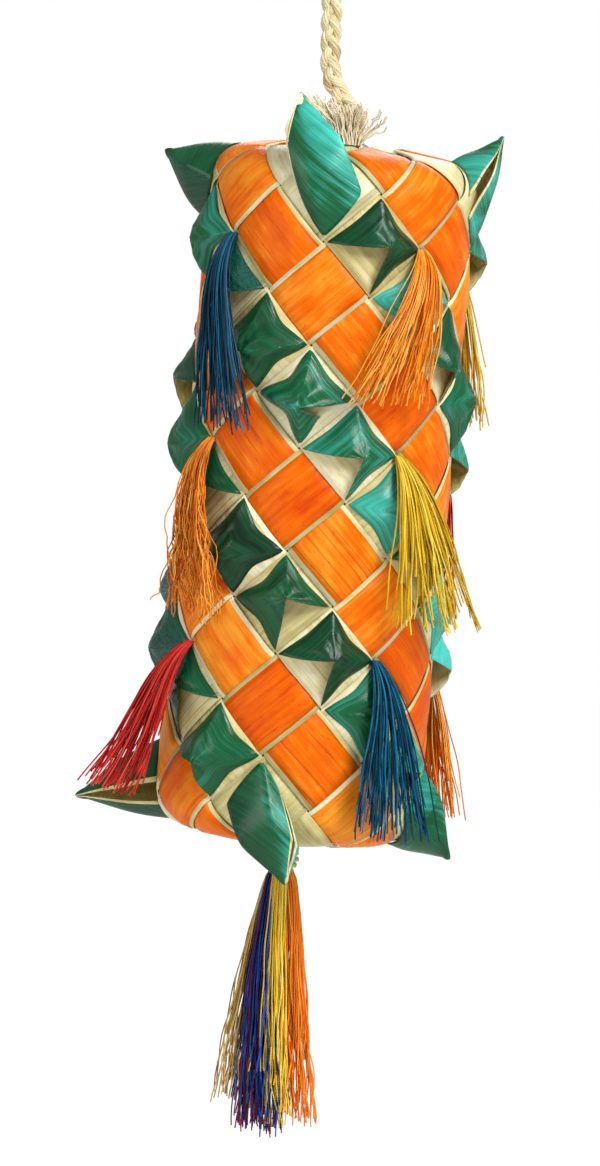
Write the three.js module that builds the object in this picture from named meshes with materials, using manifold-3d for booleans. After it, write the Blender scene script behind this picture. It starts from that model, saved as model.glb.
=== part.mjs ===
// A hanging foraging pinata for parrots: a drum plaited on the bias from orange and cream palm
// leaf, with folded green points, corner leaves, fibre tassels and a rope to hang it by.
// Millimetres, +Z up. The origin is the inside top of the hanging loop, and -Y is the front.
import * as THREE from "three";
import { mergeVertices } from "three/addons/utils/BufferGeometryUtils.js";
import Module from "manifold-3d";

const wasm = await Module();
wasm.setup();

// The plait: two hands of leaf strips that cross at right angles, each at 45 degrees to the axis.
const leafPitch = 25;
const stripsPerHand = 8;
const leafGap = 1.4;
const leafThickness = 0.5;
const weaveDepth = 0.8;
const greenThickness = 0.3;
const greenTapeWidth = 8;
const middleRow = 5;
const rimRows = 7;
const firstRow = -2;
const lastRow = 12;
const frontAzimuth = -6.5;
const twistPerRow = -0.6;

// The ends of the drum.
const shoulderRadius = 11;
const domeSlope = 9.5;
const matThickness = 1.2;
const matDepth = 2.5;
const matRadius = 36;
const fillingDepth = 2.4;
const coreCordRadius = 2.5;
const looseFit = 0.3;

// Folded points: height over the middle surface of the plait.
const pointHeight = 7.6;
const lowPointHeight = 5.9;
const firstPointRow = 0;
const lastPointRow = 10;

// Corner leaves: the row that they stand on, and each tip's turn from its column, radius, height.
const cornerLift = 4;
const cornerWidth = 22;
const cornerBulgeShare = 1.3;
const cornerWaistShare = 0.42;
const topCornerRow = -1;
const bottomCornerRow = 11;
const topTips = [
  { name: "front", turn: -19, radius: 43, height: 137 },
  { name: "right", turn: 2, radius: 54, height: 129 },
  { name: "back", turn: 12, radius: 54, height: 129 },
  { name: "left", turn: 3, radius: 63, height: 114 },
];
const bottomTips = [
  { name: "front", turn: 15, radius: 51, height: -131 },
  { name: "right", turn: 4, radius: 59, height: -122 },
  { name: "back", turn: -10, radius: 60, height: -121 },
  { name: "left", turn: 6, radius: 75, height: -114 },
];

// Side tassels: the column and row of the root, the sideways sweep and outward flare of the tips.
const tasselKnotRadius = 2.2;
const tasselLift = 4;
const tasselReach = 12;
const tasselSides = 4;
const tasselLockRadius = 2.7;
const tassels = [
  { name: "upper_left", column: -2, row: 0, tone: "blue", length: 66, sweep: 15, flare: 0 },
  { name: "upper_right", column: 2, row: 0, tone: "orange", length: 53, sweep: -16, flare: 1 },
  { name: "middle_left", column: -2, row: 4, tone: "orange", length: 61, sweep: 12, flare: 1 },
  { name: "middle_right", column: 2, row: 4, tone: "yellow", length: 58, sweep: 15, flare: 3 },
  { name: "lower_left", column: -2, row: 8, tone: "red", length: 53, sweep: -9, flare: 13 },
  { name: "lower_right", column: 2, row: 8, tone: "blue", length: 61, sweep: 6, flare: 1 },
  { name: "upper_back_left", column: -6, row: 0, tone: "red", length: 60, sweep: 4, flare: 1 },
  { name: "upper_back_right", column: 6, row: 0, tone: "yellow", length: 62, sweep: -4, flare: 2 },
  { name: "middle_back_left", column: -6, row: 4, tone: "blue", length: 60, sweep: -6, flare: 2 },
  { name: "middle_back_right", column: 6, row: 4, tone: "red", length: 61, sweep: 6, flare: 1 },
  { name: "lower_back_left", column: -6, row: 8, tone: "yellow", length: 60, sweep: 3, flare: 2 },
  { name: "lower_back_right", column: 6, row: 8, tone: "orange", length: 58, sweep: -5, flare: 3 },
];
const tasselSpread = 8.5;
const lockPlaceShares = [0, 0.12, 0.3, 0.62, 1];
const lockWidthShares = [0.7, 0.8, 1, 0.95, 0.4];
const lockLiftShares = [0, 0.35, 0.85, 1, 1];

// The tail: five hanks that hang from a tied ball under the drum.
const tieRadius = 6;
const tailLength = 90;
const hankRadius = 3.9;
const hankRing = 4.2;
const hankSpread = 9;
const hankSides = 8;
const hankPlaceShares = [0, 0.15, 0.5, 0.85, 1];
const hankWidthShares = [0.58, 0.75, 1, 0.85, 0.45];
const hankNames = ["yellow", "orange", "red", "natural", "blue"];

// The rope, from the frayed tuft on the drum's top to its knot and hanging loop.
const ropeDiameter = 7.4;
const ropeSides = 10;
const ropeSteps = 8;
const tuftRadius = 5.5;
const knotRadius = 7.5;
const ropeRoute = [
  [-0.8, 134],
  [-4.2, 138.6],
  [-7.4, 144.4],
  [-8.6, 151.5],
  [-9.1, 160],
  [-9.6, 169],
  [-10, 178.2],
];
const loopWidth = 22;
const fillingSides = 24;
const endSteps = 2;
const roundSides = 12;
const roundRings = 8;
const loopSides = 8;
const loopSteps = 22;

const colours = {
  orange: { color: 0xf5861f, roughness: 0.42 },
  cream: { color: 0xd9c692, roughness: 0.55 },
  green: { color: 0x0e6b43, roughness: 0.35 },
  blue: { color: 0x17518c, roughness: 0.6 },
  yellow: { color: 0xe0b92e, roughness: 0.6 },
  red: { color: 0xc92a22, roughness: 0.6 },
  natural: { color: 0xb9964a, roughness: 0.7 },
  straw: { color: 0xd8c894, roughness: 0.85 },
  filling: { color: 0xb8a468, roughness: 0.9 },
};

// Sizes that follow from those above.
const halfTurnDegrees = 180;
const radians = Math.PI / halfTurnDegrees;
const fullTurn = 2 * Math.PI;
const quarterTurn = Math.PI / 2;
const half = 1 / 2;
const halfStep = leafPitch * Math.SQRT1_2;
const drumRadius = (stripsPerHand * leafPitch * Math.SQRT2) / fullTurn;
const columnTurn = halfTurnDegrees / stripsPerHand;
const drumHalfLength = rimRows * halfStep;
const shoulderTurn = quarterTurn - domeSlope * radians;
const shoulderRim = drumRadius - shoulderRadius * (1 - Math.cos(shoulderTurn));
const domeRise = shoulderRim * Math.tan(domeSlope * radians);
const sideEnd = drumHalfLength - domeRise - shoulderRadius * Math.sin(shoulderTurn);
const shoulderEnd = sideEnd + shoulderRadius * shoulderTurn;
const leafHalf = ((leafPitch - leafGap) * half) / leafPitch;
const greenLift = weaveDepth;
const matTop = profileAt(shoulderEnd + shoulderRim / Math.cos(domeSlope * radians), -matDepth).z;
const tuftHeight = matTop + looseFit + tuftRadius;
const tieHeight = -matTop - looseFit - tieRadius;
const [ropeTopX, ropeTopZ] = ropeRoute[ropeRoute.length - 1];
const knotHeight = ropeTopZ + looseFit + knotRadius;
const loopRadius = (loopWidth + ropeDiameter) * half;
const loopMiddle = knotHeight + knotRadius + looseFit + loopRadius + ropeDiameter * half;
const hangPoint = new THREE.Vector3(ropeTopX, 0, loopMiddle + loopWidth * half);

// The drum's outline: radius and height at a distance along it from the middle, raised by lift.
function profileAt(distance, lift) {
  const along = Math.abs(distance);
  let radius = drumRadius;
  let height = along;
  let lean = 0;
  if (along > sideEnd) {
    lean = Math.min((along - sideEnd) / shoulderRadius, shoulderTurn);
    radius = drumRadius - shoulderRadius * (1 - Math.cos(lean));
    height = sideEnd + shoulderRadius * Math.sin(lean);
  }
  if (along > shoulderEnd) {
    radius -= (along - shoulderEnd) * Math.sin(lean);
    height += (along - shoulderEnd) * Math.cos(lean);
  }
  return {
    radius: radius + lift * Math.cos(lean),
    z: Math.sign(distance || 1) * (height + lift * Math.sin(lean)),
  };
}

// A place on the plait: p counts strips down to the right, q counts them down to the left.
function azimuthAt(p, q) {
  return (frontAzimuth + columnTurn * (p - q) + twistPerRow * (p + q)) * radians;
}

function around(azimuth, radius, z) {
  return new THREE.Vector3(radius * Math.sin(azimuth), -radius * Math.cos(azimuth), z);
}

function plaitPoint(p, q, lift) {
  const place = profileAt((middleRow - p - q) * halfStep, lift);
  return around(azimuthAt(p, q), place.radius, place.z);
}

// A closed surface from points and faces, turned to face out.
function closedShape(points, faces) {
  const corner = new THREE.Vector3();
  let volume = 0;
  for (const [a, b, c] of faces) {
    volume += points[a].dot(corner.copy(points[b]).cross(points[c]));
  }
  const outward = volume > 0 ? faces : faces.map(([a, b, c]) => [a, c, b]);
  const geometry = new THREE.BufferGeometry();
  geometry.setFromPoints(points);
  geometry.setIndex(outward.flat());
  return geometry;
}

// Joins closed shapes that overlap into one.
function joined(geometries) {
  const solids = geometries.map((geometry) => {
    const bare = geometry.clone();
    bare.deleteAttribute("normal");
    bare.deleteAttribute("uv");
    const merged = mergeVertices(bare);
    return new wasm.Manifold(
      new wasm.Mesh({
        numProp: 3,
        vertProperties: new Float32Array(merged.attributes.position.array),
        triVerts: new Uint32Array(merged.index.array),
      }),
    );
  });
  const mesh = solids.reduce((all, next) => all.add(next)).getMesh();
  const result = new THREE.BufferGeometry();
  result.setAttribute("position", new THREE.BufferAttribute(mesh.vertProperties, 3));
  result.setIndex(new THREE.BufferAttribute(mesh.triVerts, 1));
  return result;
}

// Whether a patch of the plait lies closer to the surface when it is split down the axis.
function splitsDown(place, from, to, left, right) {
  const surface = place((from + to) * half, (left + right) * half, 0);
  const down = place(from, left, 0).lerp(place(to, right, 0), half);
  const level = place(to, left, 0).lerp(place(from, right, 0), half);
  return down.distanceTo(surface) <= level.distanceTo(surface);
}

// A leaf strip that goes over one crossing strip and under the next.
function leafStrip(place, cells) {
  const across = [-leafHalf, 0, leafHalf];
  const stations = [];
  for (const cell of cells) {
    const lift = cell.onTop ? weaveDepth : -weaveDepth;
    const fine = cell.onTop || cell.row < firstPointRow || cell.row > lastPointRow;
    for (const side of fine ? across : [-leafHalf, leafHalf]) {
      stations.push({ along: cell.middle + side, lift });
    }
  }
  const points = [];
  for (const { along, lift } of stations) {
    for (const face of [half, -half]) {
      for (const side of across) points.push(place(along, side, lift + face * leafThickness));
    }
  }
  const wide = across.length;
  const ring = 2 * wide;
  const faces = [];
  const quad = (a, b, c, d) => faces.push([a, b, d], [a, d, c]);
  const otherQuad = (a, b, c, d) => faces.push([a, b, c], [b, d, c]);
  for (let k = 0; k < stations.length - 1; k++) {
    const here = k * ring;
    const next = here + ring;
    const [from, to] = [stations[k].along, stations[k + 1].along];
    for (let i = 0; i < wide - 1; i++) {
      const under = wide + i;
      const down = splitsDown(place, from, to, across[i], across[i + 1]);
      const patch = down ? quad : otherQuad;
      patch(here + i, next + i, here + i + 1, next + i + 1);
      const back = down ? otherQuad : quad;
      back(here + under + 1, next + under + 1, here + under, next + under);
    }
    quad(here + wide, next + wide, here, next);
    quad(here + wide - 1, next + wide - 1, here + ring - 1, next + ring - 1);
  }
  const end = (stations.length - 1) * ring;
  for (let i = 0; i < wide - 1; i++) {
    quad(i, i + 1, wide + i, wide + i + 1);
    quad(end + i + 1, end + i, end + wide + i + 1, end + wide + i);
  }
  return closedShape(points, faces);
}

// The flat back of a folded leaf: a fan round its middle, with the two side corners cut off first.
function backFaces(rim, middle) {
  const faces = [];
  const inner = rim.filter(({ corner }) => corner !== "side");
  inner.forEach(({ at }, i) => faces.push([middle, inner[(i + 1) % inner.length].at, at]));
  rim.forEach(({ corner, at }, i) => {
    if (corner !== "side") return;
    const before = rim[(i + rim.length - 1) % rim.length].at;
    faces.push([before, rim[(i + 1) % rim.length].at, at]);
  });
  return faces;
}

// A green strip on a cream one: a narrow tape under each crossing strip, and on each cell
// between them a pointed fold that stands off the plait.
function greenStrip(place, cells) {
  const tape = (greenTapeWidth * half) / leafPitch;
  const edge = leafHalf;
  const thick = greenThickness * half;
  const points = [];
  const faces = [];
  const add = (along, side, lift) => points.push(place(along, side, lift)) - 1;
  const section = (along, lift) =>
    [
      [-tape, thick],
      [tape, thick],
      [tape, -thick],
      [-tape, -thick],
    ].map(([side, face]) => add(along, side, lift + greenLift + face));
  const bridge = (from, to) => {
    from.forEach((a, i) => {
      const j = (i + 1) % from.length;
      faces.push([a, to[j], to[i]], [a, from[j], to[j]]);
    });
  };
  let last = null;
  for (const cell of cells) {
    if (!cell.height) {
      for (const side of [-leafHalf, 0, leafHalf]) {
        const next = section(cell.middle + side, cell.onTop ? weaveDepth : -weaveDepth);
        if (last) bridge(last, next);
        last = next;
      }
      continue;
    }
    const base = weaveDepth + greenLift;
    const start = section(cell.middle - edge, weaveDepth);
    const finish = section(cell.middle + edge, weaveDepth);
    if (last) bridge(last, start);
    const corner = (a, b) => add(cell.middle + a, b, base);
    const [nearLeft, midLeft, farLeft] = [-edge, 0, edge].map((a) => corner(a, -edge));
    const [nearRight, midRight, farRight] = [-edge, 0, edge].map((a) => corner(a, edge));
    const tip = add(cell.middle + cell.droop, cell.droop, cell.height);
    const middle = add(cell.middle, 0, base - thick);
    const topRim = [nearLeft, midLeft, farLeft, finish[0], finish[1], farRight, midRight];
    topRim.push(nearRight, start[1], start[0]);
    topRim.forEach((a, i) => faces.push([tip, topRim[(i + 1) % topRim.length], a]));
    const back = [nearLeft, midLeft, farLeft, finish[3], finish[2], farRight, midRight];
    back.push(nearRight, start[2], start[3]);
    const rim = back.map((at) => ({
      at,
      corner: at === farLeft || at === nearRight ? "side" : "end",
    }));
    faces.push(...backFaces(rim.reverse(), middle));
    faces.push([farLeft, finish[0], finish[3]], [farRight, finish[2], finish[1]]);
    faces.push([nearLeft, start[3], start[0]], [nearRight, start[1], start[2]]);
    if (!last) faces.push([start[0], start[2], start[1]], [start[0], start[3], start[2]]);
    last = finish;
  }
  faces.push([last[0], last[1], last[2]], [last[0], last[2], last[3]]);
  return closedShape(points, faces);
}

// A corner leaf: folded round on its cell of the rim, widest near its waist, ending in a tip.
function cornerLeaf(column, row, tip) {
  const reach = (cornerWidth * half) / leafPitch;
  const p = (row + column) * half;
  const q = (row - column) * half;
  const outline = [
    [-reach, -reach],
    [0, -reach],
    [reach, -reach],
    [reach, 0],
    [reach, reach],
    [0, reach],
    [-reach, reach],
    [-reach, 0],
  ];
  const end = around(azimuthAt(p, q) + tip.turn * radians, tip.radius, tip.height);
  const centre = plaitPoint(p, q, cornerLift);
  const base = outline.map(([a, b]) => plaitPoint(p + a, q + b, cornerLift));
  const waistCentre = centre.clone().lerp(end, cornerWaistShare);
  const shrink = (1 - cornerWaistShare) * cornerBulgeShare;
  const waist = base.map((point) =>
    waistCentre.clone().addScaledVector(point.clone().sub(centre), shrink),
  );
  const count = outline.length;
  const points = [...base, ...waist, end, centre];
  const tipAt = 2 * count;
  const faces = [];
  for (let i = 0; i < count; i++) {
    const j = (i + 1) % count;
    faces.push([i, j, count + j], [i, count + j, count + i], [count + i, count + j, tipAt]);
  }
  const isSide = ([a, b]) => a * b < 0;
  const rim = outline.map((at, i) => ({ at: i, corner: isSide(at) ? "side" : "end" }));
  faces.push(...backFaces(rim, tipAt + 1));
  return closedShape(points, faces);
}

// A tapered bundle of fibres that follows a line of points, flat at both ends.
function bundle(line, widths, sides) {
  const points = [];
  const faces = [];
  const ahead = new THREE.Vector3();
  const across = new THREE.Vector3();
  const upright = new THREE.Vector3();
  line.forEach((point, k) => {
    ahead.copy(line[Math.min(k + 1, line.length - 1)]).sub(line[Math.max(k - 1, 0)]).normalize();
    across.set(-point.y, point.x, 0).addScaledVector(ahead, -across.dot(ahead)).normalize();
    across.addScaledVector(ahead, -across.dot(ahead)).normalize();
    upright.copy(ahead).cross(across);
    for (let i = 0; i < sides; i++) {
      const turn = (i * fullTurn) / sides;
      const out = across.clone().multiplyScalar(Math.cos(turn) * widths[k]);
      points.push(point.clone().add(out).addScaledVector(upright, Math.sin(turn) * widths[k]));
    }
  });
  for (let k = 0; k < line.length - 1; k++) {
    for (let i = 0; i < sides; i++) {
      const j = (i + 1) % sides;
      const here = k * sides;
      faces.push([here + i, here + j, here + sides + j]);
      faces.push([here + i, here + sides + j, here + sides + i]);
    }
  }
  const end = (line.length - 1) * sides;
  for (let i = 1; i < sides - 1; i++) {
    faces.push([0, i + 1, i], [end, end + i, end + i + 1]);
  }
  return closedShape(points, faces);
}

// A side tassel: three locks that leave one small knot at a crossing of the plait.
function tassel({ column, row, length, sweep, flare }) {
  const p = (row + column) * half;
  const q = (row - column) * half;
  const root = plaitPoint(p, q, tasselLift);
  const azimuth = azimuthAt(p, q);
  const knot = new THREE.SphereGeometry(tasselKnotRadius, roundSides * half, roundRings * half);
  knot.translate(root.x, root.y, root.z);
  const locks = [-1, 0, 1].map((side) => {
    const line = lockPlaceShares.map((share, k) => {
      const lift = tasselLift + lockLiftShares[k] * (tasselReach - tasselLift);
      const radius = drumRadius + lift + flare * share * share;
      const sideways = (sweep + side * tasselSpread) * share;
      return around(azimuth + sideways / radius, radius, root.z - length * share);
    });
    const widths = lockWidthShares.map((share) => share * tasselLockRadius);
    return bundle(line, widths, tasselSides);
  });
  return joined([knot, ...locks]);
}

// A hank of the tail, at its own place round the middle line.
function tailHank(index) {
  const azimuth = (index * fullTurn) / hankNames.length;
  const top = tieHeight - tieRadius;
  const line = hankPlaceShares.map((share) => {
    const ring = hankRing + (hankSpread - hankRing) * Math.sqrt(share);
    return around(azimuth, ring, top - tailLength * share);
  });
  const widths = hankWidthShares.map((share) => share * hankRadius);
  return bundle(line, widths, hankSides);
}

// A turned shape that closes on the axis, or round a bore.
function turned(outline, sides) {
  const profile = outline.map(([radius, z]) => new THREE.Vector2(radius, z));
  const geometry = new THREE.LatheGeometry(profile, sides);
  geometry.rotateX(quarterTurn);
  return mergedShape(geometry);
}

function mergedShape(geometry) {
  geometry.deleteAttribute("normal");
  geometry.deleteAttribute("uv");
  const merged = mergeVertices(geometry);
  const place = merged.attributes.position;
  const points = [];
  for (let i = 0; i < place.count; i++) {
    points.push(new THREE.Vector3().fromBufferAttribute(place, i));
  }
  const faces = [];
  const index = merged.index.array;
  for (let i = 0; i < index.length; i += 3) {
    const face = [index[i], index[i + 1], index[i + 2]];
    if (new Set(face).size === face.length) faces.push(face);
  }
  return closedShape(points, faces);
}

const boreRadius = coreCordRadius + looseFit;

// Distances along the outline from the shoulder to a radius on the dome.
function endDistances(innerRadius, outerDistance) {
  const innerDistance = shoulderEnd + (shoulderRim - innerRadius) / Math.sin(shoulderTurn);
  const distances = [];
  for (let k = 0; k <= endSteps; k++) {
    distances.push(outerDistance + ((innerDistance - outerDistance) * k) / endSteps);
  }
  return distances;
}

// The shredded leaf that fills the drum, with a bore for the cord.
function filling() {
  const depth = matDepth + matThickness + looseFit;
  const end = endDistances(boreRadius, shoulderEnd).map((distance) => {
    const { radius, z } = profileAt(distance, -depth);
    return [Math.max(radius, boreRadius), z];
  });
  const upper = [[drumRadius - fillingDepth, sideEnd], ...end];
  const lower = upper.map(([radius, z]) => [radius, -z]).reverse();
  return turned([...upper, ...lower, upper[0]], fillingSides);
}

// The cord through the filling, from one end mat to the other.
function coreCord() {
  const end = profileAt(endDistances(coreCordRadius, 0)[endSteps], -matDepth - matThickness).z;
  const reach = 2 * (end - looseFit);
  const cord = new THREE.CylinderGeometry(coreCordRadius, coreCordRadius, reach, ropeSides);
  return cord.rotateX(quarterTurn);
}

// A plaited mat that closes one end, under the ends of the strips.
function endMat(up) {
  const rim = shoulderEnd - (matRadius - shoulderRim) / Math.sin(shoulderTurn);
  const distances = endDistances(0, rim);
  const layer = (lift) =>
    distances.map((distance) => {
      const { radius, z } = profileAt(distance, lift);
      return [Math.max(radius, 0), up * z];
    });
  const outer = layer(-matDepth).reverse();
  const inner = layer(-matDepth - matThickness);
  outer[0][0] = 0;
  inner[inner.length - 1][0] = 0;
  return turned([...outer, ...inner], fillingSides);
}

const root = new THREE.Group();
root.name = "pinata";
const drum = new THREE.Group();
drum.position.copy(hangPoint).negate();
root.add(drum);

function addPart(name, geometry, tone) {
  const material = new THREE.MeshStandardMaterial({ ...colours[tone], metalness: 0 });
  const mesh = new THREE.Mesh(geometry, material);
  mesh.name = name;
  drum.add(mesh);
  return mesh;
}

// The cells that a strip passes, from the top rim to the bottom one.
function cellsOf(hand, index) {
  const cells = [];
  for (let row = firstRow; row <= lastRow; row++) {
    const other = row - 1 - index;
    const odd = (index + other) % 2 !== 0;
    cells.push({ row, other, middle: other + half, onTop: hand === "right" ? odd : !odd });
  }
  return cells;
}

// Each green cell carries a point, and those right under a tassel's root are low.
const rootRows = new Set(tassels.map(({ row }) => row));
const rootColumns = new Set(tassels.map(({ column }) => Math.abs(column)));
const droopShare = 0.16;

function pointsOn(cells, hand, index) {
  const first = cells.findIndex(({ row, onTop }) => onTop && row >= firstPointRow);
  const last = cells.findLastIndex(({ row, onTop }) => onTop && row <= lastPointRow);
  return cells.slice(first, last + 1).map((cell) => {
    if (!cell.onTop) return cell;
    const lean = Math.abs(hand === "right" ? cell.other - index : index - cell.other);
    const column = Math.min(lean, 2 * stripsPerHand - lean);
    const low = rootRows.has(cell.row - 1) && rootColumns.has(column);
    return { ...cell, height: low ? lowPointHeight : pointHeight, droop: low ? 0 : droopShare };
  });
}

for (const hand of ["right", "left"]) {
  for (let index = 0; index < stripsPerHand; index++) {
    const centre = index + half;
    const place =
      hand === "right"
        ? (along, side, lift) => plaitPoint(along, centre + side, lift)
        : (along, side, lift) => plaitPoint(centre + side, along, lift);
    const cells = cellsOf(hand, index);
    const tone = index % 2 === 0 ? "orange" : "cream";
    addPart(`${tone}_strip_${hand}_${index}`, leafStrip(place, cells), tone);
    if (tone === "cream") {
      const points = greenStrip(place, pointsOn(cells, hand, index));
      addPart(`green_points_${hand}_${index}`, points, "green");
    }
  }
}

topTips.forEach((tip, k) => {
  const column = (k * 2 * stripsPerHand) / topTips.length;
  addPart(`top_corner_${tip.name}`, cornerLeaf(column, topCornerRow, tip), "green");
});
bottomTips.forEach((tip, k) => {
  const column = (k * 2 * stripsPerHand) / bottomTips.length;
  addPart(`bottom_corner_${tip.name}`, cornerLeaf(column, bottomCornerRow, tip), "green");
});

addPart("filling", filling(), "filling");
addPart("top_end_mat", endMat(1), "cream");
addPart("bottom_end_mat", endMat(-1), "cream");
addPart("core_cord", coreCord(), "straw");

for (const each of tassels) addPart(`tassel_${each.name}`, tassel(each), each.tone);

const ball = (radius) => new THREE.SphereGeometry(radius, roundSides, roundRings);
addPart("tail_tie", ball(tieRadius), "straw").position.z = tieHeight;
hankNames.forEach((tone, k) => addPart(`tail_${tone}`, tailHank(k), tone));

addPart("rope_tuft", ball(tuftRadius), "straw").position.z = tuftHeight;
const ropeLine = new THREE.CatmullRomCurve3(ropeRoute.map(([x, z]) => new THREE.Vector3(x, 0, z)));
const ropeSection = new THREE.Shape();
ropeSection.absarc(0, 0, ropeDiameter * half, 0, fullTurn, false);
const rope = new THREE.ExtrudeGeometry(ropeSection, {
  extrudePath: ropeLine,
  steps: ropeSteps,
  curveSegments: ropeSides,
  bevelEnabled: false,
});
addPart("rope_stretch", rope, "straw");
addPart("loop_knot", ball(knotRadius), "straw").position.set(ropeTopX, 0, knotHeight);
const loop = new THREE.TorusGeometry(loopRadius, ropeDiameter * half, loopSides, loopSteps);
loop.rotateX(quarterTurn);
addPart("hanging_loop", loop, "straw").position.set(ropeTopX, 0, loopMiddle);

export default root;
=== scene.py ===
import math
import random

import bpy
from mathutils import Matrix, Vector


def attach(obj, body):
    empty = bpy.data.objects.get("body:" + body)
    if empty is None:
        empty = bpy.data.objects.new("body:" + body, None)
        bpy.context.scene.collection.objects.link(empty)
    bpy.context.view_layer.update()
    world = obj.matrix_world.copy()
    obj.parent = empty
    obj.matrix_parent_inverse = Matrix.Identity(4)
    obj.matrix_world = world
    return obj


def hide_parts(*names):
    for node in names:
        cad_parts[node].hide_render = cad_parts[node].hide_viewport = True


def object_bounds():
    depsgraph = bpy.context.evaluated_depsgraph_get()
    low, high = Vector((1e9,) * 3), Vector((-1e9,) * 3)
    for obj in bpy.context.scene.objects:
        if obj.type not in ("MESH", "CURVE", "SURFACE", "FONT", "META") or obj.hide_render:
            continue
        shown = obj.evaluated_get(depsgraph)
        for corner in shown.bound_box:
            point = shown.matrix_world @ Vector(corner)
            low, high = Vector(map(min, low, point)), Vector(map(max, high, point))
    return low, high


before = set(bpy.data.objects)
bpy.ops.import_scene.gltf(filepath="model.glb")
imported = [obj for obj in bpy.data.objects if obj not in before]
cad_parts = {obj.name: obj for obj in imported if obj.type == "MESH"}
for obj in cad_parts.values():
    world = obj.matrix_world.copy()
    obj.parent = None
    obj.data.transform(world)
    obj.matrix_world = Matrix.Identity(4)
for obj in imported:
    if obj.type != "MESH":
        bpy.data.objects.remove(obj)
cad_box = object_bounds()

MM = 0.001

# The plait, in metres
# It is the same drum as the part's source, about an upright axis through AXIS. A place on it is
# (p, q, lift): p and q count its strips, and lift is how far out it lies.
AXIS = Vector((0.010, 0, -0.2232))
PITCH = 0.025
STRIPS = 8
MIDDLE_ROW = 5
FIRST_ROW, LAST_ROW = -2, 12
FRONT = math.radians(-6.5)
TWIST = math.radians(-0.6)
COLUMN = math.pi / STRIPS
HALF_STEP = PITCH * math.sqrt(0.5)
HALF_LENGTH = 7 * HALF_STEP
RADIUS = STRIPS * PITCH * math.sqrt(2) / math.tau
SHOULDER = 0.011
SLOPE = math.radians(9.5)
SHOULDER_TURN = math.pi / 2 - SLOPE
SHOULDER_RIM = RADIUS - SHOULDER * (1 - math.cos(SHOULDER_TURN))
SIDE_END = HALF_LENGTH - SHOULDER_RIM * math.tan(SLOPE) - SHOULDER * math.sin(SHOULDER_TURN)
SHOULDER_END = SIDE_END + SHOULDER * SHOULDER_TURN


def profile_at(distance, lift):
    """Radius and height of the drum's outline, at a distance along it from the middle."""
    along = abs(distance)
    lean = min(max(along - SIDE_END, 0) / SHOULDER, SHOULDER_TURN)
    extra = max(along - SHOULDER_END, 0)
    radius = RADIUS - SHOULDER * (1 - math.cos(lean)) - extra * math.sin(lean)
    height = min(along, SIDE_END) + SHOULDER * math.sin(lean) + extra * math.cos(lean)
    side = 1 if distance >= 0 else -1
    return radius + lift * math.cos(lean), side * (height + lift * math.sin(lean))


def azimuth_at(p, q):
    return FRONT + COLUMN * (p - q) + TWIST * (p + q)


def around(azimuth, radius, height):
    return AXIS + Vector((radius * math.sin(azimuth), -radius * math.cos(azimuth), height))


def plait_point(p, q, lift):
    return around(azimuth_at(p, q), *profile_at((MIDDLE_ROW - p - q) * HALF_STEP, lift))


def shares(count):
    """Even steps from 0 to 1."""
    return [k / (count - 1) for k in range(count)]


# Node trees, written as sums.
class Term:
    """A value in a node tree. Sums of terms are written as plain sums."""

    def __init__(self, socket):
        self.socket = socket

    def __add__(self, other):
        return maths("ADD", self, other)

    def __sub__(self, other):
        return maths("SUBTRACT", self, other)

    def __rsub__(self, other):
        return maths("SUBTRACT", other, self)

    def __mul__(self, other):
        return maths("MULTIPLY", self, other)

    def __truediv__(self, other):
        return maths("DIVIDE", self, other)

    __radd__ = __add__
    __rmul__ = __mul__


def pick(sockets, key):
    """A socket by its place or its name, among those that the node's settings leave in use."""
    if isinstance(key, int):
        return sockets[key]
    return next(s for s in sockets if s.name == key and s.enabled)


def feed(target, value):
    if isinstance(value, Term):
        value = value.socket
    if isinstance(value, bpy.types.NodeSocket):
        target.id_data.links.new(value, target)
    elif value is not None:
        target.default_value = value


def add(tree, kind, inputs=None, **settings):
    node = tree.nodes.new(kind)
    for name, value in settings.items():
        setattr(node, name, value)
    for key, value in (inputs or {}).items():
        feed(pick(node.inputs, key), value)
    return node


def source(tree, kind, inputs=None, output=0, **settings):
    """An output of a new node, for a sum to start from."""
    return Term(pick(add(tree, kind, inputs, **settings).outputs, output))


def tree_of(values):
    """The tree that the first term among the values is in."""
    return next(value.socket.id_data for value in values if isinstance(value, Term))


def made(kind, inputs, output=0, **settings):
    """An output of a new node, in the tree that the terms among its inputs are in."""
    return source(tree_of(inputs.values()), kind, inputs, output, **settings)


def maths(operation, *values):
    return made("ShaderNodeMath", dict(enumerate(values)), operation=operation)


def clamp(value, low, high):
    return maths("MINIMUM", maths("MAXIMUM", value, low), high)


def ramp(value, low, high):
    """0 below low, 1 above high and smooth between."""
    inputs = {"Value": value, "From Min": low, "From Max": high}
    return made("ShaderNodeMapRange", inputs, interpolation_type="SMOOTHSTEP")


def blend(low, high, share):
    return low + (high - low) * share


def vector(x, y, z):
    return made("ShaderNodeCombineXYZ", {0: x, 1: y, 2: z})


def parts(value):
    """The three numbers of a vector."""
    return [Term(s) for s in add(tree_of([value]), "ShaderNodeSeparateXYZ", {0: value}).outputs]


def vectors(operation, *values):
    return made("ShaderNodeVectorMath", dict(enumerate(values)), operation=operation)


def scaled(value, share):
    return made("ShaderNodeVectorMath", {0: value, "Scale": share}, operation="SCALE")


def noise(x, y, z, detail=2.0, output=0):
    inputs = {"Vector": vector(x, y, z), "Scale": 1.0, "Detail": detail}
    return made("ShaderNodeTexNoise", inputs, output)


SOCKET_KINDS = {int: "Int", float: "Float", tuple: "Vector"}


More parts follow.
